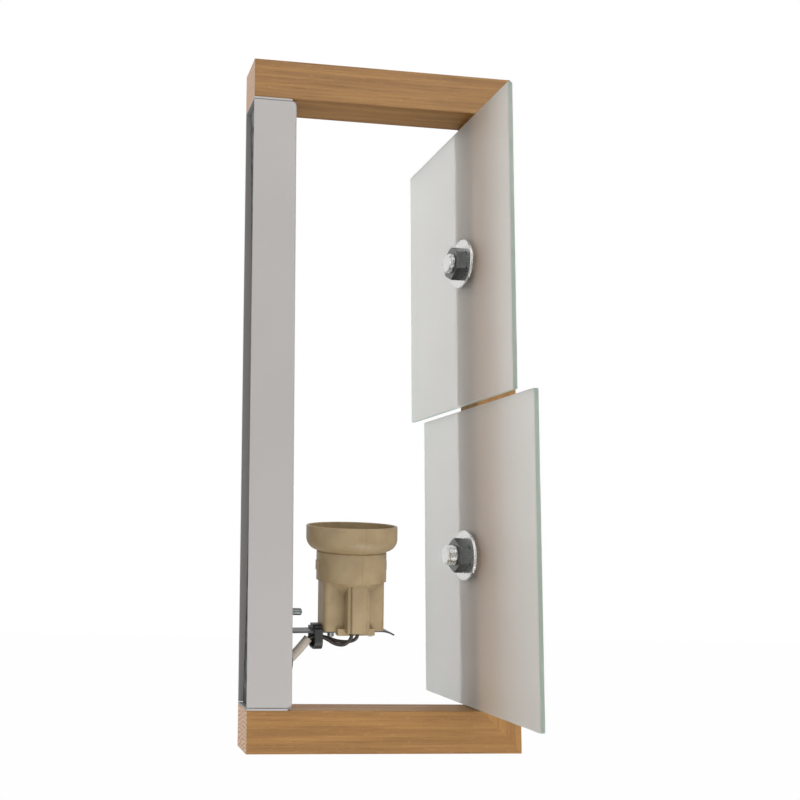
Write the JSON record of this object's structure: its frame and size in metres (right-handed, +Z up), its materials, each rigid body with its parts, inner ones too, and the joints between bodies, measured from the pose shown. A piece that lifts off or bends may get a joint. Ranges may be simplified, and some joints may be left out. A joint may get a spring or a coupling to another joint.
{
  "type": "wall light",
  "caption": "Wall light: mitred oak frame, white folded tray, frosted glass panels on studs and a beige E27 lampholder on a steel bracket.",
  "frame": {"origin": "on the wall plane, at the middle of the height and width, between the two slots for wall screws", "axes": "+Z up, +Y into the wall, -Y out into the room, X along the wall"},
  "size_m": [0.166, 0.163, 0.41],
  "materials": {
    "oak": "oiled solid oak, fine straight grain",
    "dowel_beech": "plain beech",
    "tray_paint": "white powder coat, satin",
    "zinc_strip": "galvanised, mottled",
    "bright_steel": "bright zinc plate",
    "dark_steel": "dark zinc plate",
    "frosted_glass": "satin frosted, green at the edges",
    "clear_plastic": "clear",
    "holder_plastic": "moulded beige, satin",
    "socket_brass": "nickelled brass",
    "white_sheath": "cable sheath",
    "dark_insulation": "wire insulation",
    "dark_rubber": "soft rubber",
    "tie_nylon": "black nylon",
    "block_plastic": "white nylon"
  },
  "bodies": {
    "root": {"top_bar": "oak", "bottom_bar": "oak", "front_post": "oak", "corner_dowels": "dowel_beech", "wall_tray": "tray_paint", "wall_bar": "zinc_strip", "frame_screws": "bright_steel", "upper_pad": "clear_plastic", "lower_pad": "clear_plastic", "upper_washer": "bright_steel", "lower_washer": "bright_steel", "upper_nut": "bright_steel", "lower_nut": "bright_steel", "upper_stud": "bright_steel", "lower_stud": "bright_steel", "holder_bracket": "dark_steel", "bracket_screw": "dark_steel", "holder_screws": "bright_steel", "holder_base": "holder_plastic", "holder_cup": "holder_plastic", "socket_shell": "socket_brass", "centre_contact": "socket_brass", "wire_terminals": "socket_brass", "supply_cable": "white_sheath", "near_wire": "dark_insulation", "far_wire": "dark_insulation", "cable_grommet": "dark_rubber", "cable_tie": "tie_nylon", "terminal_block": "block_plastic"},
    "upper_panel": {"upper_glass": "frosted_glass", "upper_sleeve": "clear_plastic"},
    "lower_panel": {"lower_glass": "frosted_glass", "lower_sleeve": "clear_plastic"}
  },
  "joints": [
    {"name": "upper_panel_turn", "type": "hinge", "parent": "root", "child": "upper_panel", "pos_m": [0, -0.137, 0.0885], "axis": [0, 1, 0], "range_deg": [-1.3, 1.3]},
    {"name": "lower_panel_turn", "type": "hinge", "parent": "root", "child": "lower_panel", "pos_m": [0, -0.137, -0.0915], "axis": [0, 1, 0], "range_deg": [-1.3, 1.3]}
  ]
}
